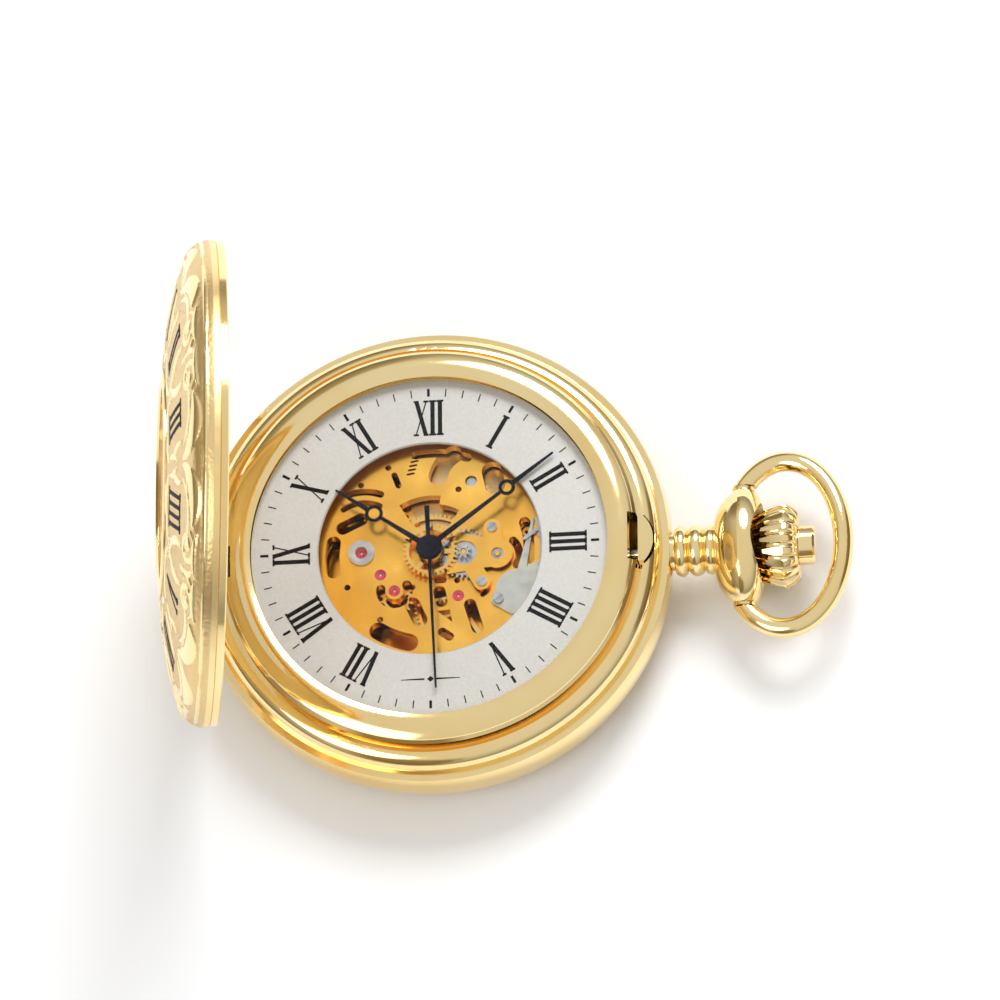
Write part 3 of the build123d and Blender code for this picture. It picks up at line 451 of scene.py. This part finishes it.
def arc_points(u, v, radius0, radius1, start, turns, count=26):
    """Points of a spiral arc in a cell."""
    points = []
    for i in range(count):
        t = i / (count - 1)
        angle = math.radians(start + 360 * turns * t)
        radius = radius0 + (radius1 - radius0) * t
        points.append((u + radius * math.cos(angle), v + radius * math.sin(angle)))
    return points


def bow_points(start, end, bulge, count=16):
    """Points of a curved stroke from start to end that bulges to its left."""
    (u0, v0), (u1, v1) = start, end
    du, dv = u1 - u0, v1 - v0
    length = math.hypot(du, dv)
    points = []
    for i in range(count):
        t = i / (count - 1)
        side = 4 * bulge * t * (1 - t) / length
        points.append((u0 + du * t - dv * side, v0 + dv * t + du * side))
    return points


STROKES = (
    (bow_points((-GAP, 20.4), (GAP, 20.4), 1.0, 30), 0.2, 0.07),
    (bow_points((-4.9, 20.2), (0.4, 22.6), 1.2), 0.95, 0.13),
    (bow_points((-3.6, 19.9), (1.2, 21.6), 0.7), 0.34, 0.09),
    (arc_points(2.6, 21.3, 1.75, 0.45, 150, -1.35), 0.32, 0.11),
    (arc_points(2.6, 21.3, 0.3, 0.28, 0, 1.0), 0.3, 0.12),
    (bow_points((1.2, 23.2), (4.9, 23.0), -0.35), 0.36, 0.10),
    (bow_points((4.6, 22.6), (5.1, 19.6), 0.5), 0.42, 0.11),
    (bow_points((3.2, 19.4), (4.9, 15.4), -0.8), 0.55, 0.12),
    (bow_points((-3.2, 19.2), (-4.7, 16.2), 0.5), 0.42, 0.11),
    (bow_points((-4.9, 17.6), (-4.2, 14.6), 0.4), 0.36, 0.10),
    (arc_points(4.4, 15.2, 0.95, 0.3, 200, 1.2), 0.24, 0.10),
    (bow_points((-4.6, 13.9), (-0.6, 12.6), -0.5), 0.42, 0.10),
    (bow_points((4.6, 13.9), (0.6, 12.6), 0.5), 0.42, 0.10),
    (bow_points((-2.6, 11.7), (2.6, 11.7), 0.35), 0.24, 0.07),
    (bow_points((-5.2, 24.1), (5.2, 24.1), 0.0), 0.22, 0.08),
)
HIGHEST = max(rise for _, _, rise in STROKES)
GROUND_DEPTH = 0.035
SKIN_LIFT = 0.012


def dome_profile(count):
    """Points of the dome's outline at equal steps, with their outward normals and distances."""
    fine = []
    for points, steps in ((DOME_TOP[::-1], 400), (DOME_SIDE[::-1], 200)):
        centre, radius = arc_centre(points)
        first = math.atan2(points[0][1] - centre[1], points[0][0] - centre[0])
        last = math.atan2(points[-1][1] - centre[1], points[-1][0] - centre[0])
        for i in range(steps + 1):
            angle = first + (last - first) * i / steps
            normal = (math.cos(angle), math.sin(angle))
            fine.append((centre[0] + radius * normal[0], centre[1] + radius * normal[1], *normal))
    fine = np.array(fine)
    along = np.concatenate([[0], np.cumsum(np.hypot(*np.diff(fine[:, :2], axis=0).T))])
    wanted = np.linspace(0, along[-1], count)
    rows = [np.interp(wanted, along, fine[:, i]) for i in range(4)]
    return *rows, wanted + fine[0, 0]


def relief_height(u, v):
    """Height of the engraving over the ground."""
    height = np.zeros(u.shape)
    for points, half, rise in STROKES:
        count = len(points) - 1
        for i in range(count):
            (u0, v0), (u1, v1) = points[i], points[i + 1]
            du, dv = u1 - u0, v1 - v0
            near = (abs(u - (u0 + u1) / 2) < 2 * half + 0.6) & (abs(v - (v0 + v1) / 2) < 2 * half + 0.6)
            t = np.clip(((u[near] - u0) * du + (v[near] - v0) * dv) / (du * du + dv * dv + 1e-9), 0, 1)
            along = (i + t) / count
            width = half * (0.25 + 0.75 * np.sin(np.pi * np.clip(along, 0.02, 0.98)) ** 0.7)
            distance = np.hypot(u[near] - u0 - t * du, v[near] - v0 - t * dv) / width
            rounded = rise * np.sqrt(np.clip(1 - distance**2, 0, None))
            height[near] = np.maximum(height[near], rounded)
    return height


def lid_relief():
    """Engraved skin over the lid's dome: smooth raised scrolls on a stippled ground."""
    rounds, rows = 1080, 120
    radius, rise, normal_r, normal_z, distance = dome_profile(rows)
    angle = np.arange(rounds) * 2 * math.pi / rounds
    angle_grid, v = np.meshgrid(angle, distance)
    cell = np.round(angle_grid * 6 / math.pi)
    u = (angle_grid - cell * math.pi / 6) * CELL_R * np.where(cell % 2 == 0, 1, -1)
    height = relief_height(u, v)
    stipple = np.random.default_rng(7).uniform(-1, 1, height.shape) * 0.022
    relief = np.where(height > 0.012, height, -GROUND_DEPTH / 2 + stipple)
    relief *= np.clip((distance[-1] - v) / 0.3, 0, 1) * np.clip((v - distance[0]) / 0.2, 0, 1)
    lift = relief + SKIN_LIFT + GROUND_DEPTH
    out = radius[:, None] + normal_r[:, None] * lift
    up = rise[:, None] + normal_z[:, None] * lift + DIAL_TOP
    points = np.stack([out * np.cos(angle_grid), out * np.sin(angle_grid), up], axis=-1)
    index = np.arange(rows * rounds).reshape(rows, rounds)
    following = np.roll(index, -1, axis=1)
    faces = np.stack([index[1:], following[1:], following[:-1], index[:-1]], axis=-1)
    mesh = bpy.data.meshes.new("lid_relief")
    mesh.from_pydata(points.reshape(-1, 3).tolist(), [], faces.reshape(-1, 4).tolist())
    # The relief height is stored for the material, which paints shade into the sunk ground by it.
    attribute = mesh.attributes.new("relief", "FLOAT", "POINT")
    attribute.data.foreach_set("value", (relief / HIGHEST).ravel())
    return link_piece("lid_relief", mesh, engraved, "lid", smooth=True, place=lid_place())


def on_lid(direction, start):
    """Maps local across and out to the closed lid's dome, upright as on the dial."""
    out = Vector((math.cos(direction), math.sin(direction), 0))
    across = Vector((out.y, -out.x, 0))

    def place(u, v, z):
        flat = out * (start + v) + across * u
        return flat + Vector((0, 0, DIAL_TOP + dome(flat.length) + SKIN_LIFT + GROUND_DEPTH + z))

    return place


def lid_numerals():
    """Enamelled hours on the lid."""
    bm = bmesh.new()
    for hour, text in enumerate(NUMERALS):
        place = on_lid(hour_direction(hour), LID_NUMERAL_IN)
        numeral(bm, text, place, LID_NUMERAL_OUT - LID_NUMERAL_IN, -0.02, 0.03, steps=10, weight=0.7)
    return add_piece("lid_numerals", bm, enamel, "lid", place=lid_place())


PIECES = (
    (dial_numerals, "hand_black"),
    (dial_ticks, "hand_black"),
    (lid_relief, "case_gold"),
    (lid_numerals, "hand_black"),
    (dial_ornament, "hand_black"),
)
for make, slot in PIECES:
    make()


# ---------------------------------------------------------------- stage, lights, camera


def make_stage():
    """Plain pale floor."""
    bm = bmesh.new()
    bmesh.ops.create_grid(bm, x_segments=8, y_segments=8, size=1500)
    mesh = bpy.data.meshes.new("floor")
    bm.to_mesh(mesh)
    bm.free()
    mesh.transform(Matrix.Scale(MM, 4))
    shader = Shader("floor_paper", (0.92, 0.93, 0.95), 0.0, 0.8)
    shader.mix_color(shader.noise(40, 2), (0.915, 0.925, 0.945), (0.925, 0.935, 0.955))
    mesh.materials.append(shader.material)
    floor = bpy.data.objects.new("floor", mesh)
    bpy.context.scene.collection.objects.link(floor)


# Darker cards of the studio: direction, where the card's edge starts and ends, and its tint
CARDS = (
    ((1.0, 0.25, 0.30), 0.90, 0.95, (0.42, 0.33, 0.20)),
    ((-0.5, 1.0, 0.30), 0.92, 0.97, (0.58, 0.49, 0.34)),
    ((-0.3, -1.0, 0.45), 0.93, 0.97, (0.45, 0.36, 0.22)),
    ((-1.0, 0.0, 0.25), 0.70, 0.92, (0.62, 0.53, 0.38)),
)
SKY = ((0.0, 0.55), (0.12, 0.5), (0.3, 0.8), (0.6, 1.05), (1.0, 1.1))


def make_world():
    """White studio with a darker horizon and a few darker cards for the metal to show."""
    world = bpy.data.worlds.new("studio")
    bpy.context.scene.world = world
    world.use_nodes = True
    tree = world.node_tree
    background = tree.nodes["Background"]
    direction = tree.nodes.new("ShaderNodeTexCoord").outputs["Generated"]
    split = tree.nodes.new("ShaderNodeSeparateXYZ")
    tree.links.new(direction, split.inputs["Vector"])
    ramp = tree.nodes.new("ShaderNodeValToRGB")
    tree.links.new(split.outputs["Z"], ramp.inputs["Fac"])
    elements = ramp.color_ramp.elements
    for index, (position, level) in enumerate(SKY):
        element = elements[index] if index < 2 else elements.new(position)
        element.position = position
        element.color = (level, level, level, 1)
    brightness = ramp.outputs["Color"]
    for card, start, end, tint in CARDS:
        dot = tree.nodes.new("ShaderNodeVectorMath")
        dot.operation = "DOT_PRODUCT"
        dot.inputs[1].default_value = Vector(card).normalized()
        tree.links.new(direction, dot.inputs[0])
        edge = tree.nodes.new("ShaderNodeMapRange")
        edge.inputs["From Min"].default_value = start
        edge.inputs["From Max"].default_value = end
        tree.links.new(dot.outputs["Value"], edge.inputs["Value"])
        shade = tree.nodes.new("ShaderNodeMix")
        shade.data_type = "RGBA"
        shade.blend_type = "MULTIPLY"
        shade.inputs["B"].default_value = (*tint, 1)
        tree.links.new(edge.outputs["Result"], shade.inputs["Factor"])
        tree.links.new(brightness, shade.inputs["A"])
        brightness = shade.outputs["Result"]
    tree.links.new(brightness, background.inputs["Color"])
    background.inputs["Strength"].default_value = 0.68


def area_light(name, place, size, power):
    """Soft box aimed at the watch."""
    data = bpy.data.lights.new(name, "AREA")
    data.shape = "DISK"
    data.size = size
    data.energy = power
    lamp = bpy.data.objects.new(name, data)
    lamp.location = place
    lamp.rotation_mode = "QUATERNION"
    lamp.rotation_quaternion = (Vector((0, 0, 0)) - Vector(place)).to_track_quat("-Z", "Y")
    bpy.context.scene.collection.objects.link(lamp)


VIEW_AZIMUTH, VIEW_ELEVATION, VIEW_ROLL = 16.66, 68.08, -18.4
VIEW_DISTANCE = 1500.0
VIEW_TARGET = (6.96, 4.64)
LENS = 553.3


def make_camera():
    """Long lens at the viewing angle, turned about its own axis by VIEW_ROLL."""
    a, e = math.radians(VIEW_AZIMUTH), math.radians(VIEW_ELEVATION)
    back = Vector((math.sin(a) * math.cos(e), -math.cos(a) * math.cos(e), math.sin(e)))
    data = bpy.data.cameras.new("camera")
    data.lens = LENS
    data.clip_start, data.clip_end = 0.1, 20
    camera = bpy.data.objects.new("camera", data)
    target = Vector((*VIEW_TARGET, DIAL_TOP))
    camera.location = (target + back * VIEW_DISTANCE) * MM
    camera.rotation_mode = "QUATERNION"
    turn = (-back).to_track_quat("-Z", "Y").to_matrix() @ Matrix.Rotation(math.radians(VIEW_ROLL), 3, "Z")
    camera.rotation_quaternion = turn.to_quaternion()
    bpy.context.scene.collection.objects.link(camera)
    bpy.context.scene.camera = camera


make_stage()
make_world()
area_light("key", (0.18, 0.64, 0.68), 0.5, 6.5)
area_light("fill", (-0.5, -0.5, 0.8), 0.7, 2.6)
make_camera()
bpy.context.scene.view_settings.view_transform = "Standard"
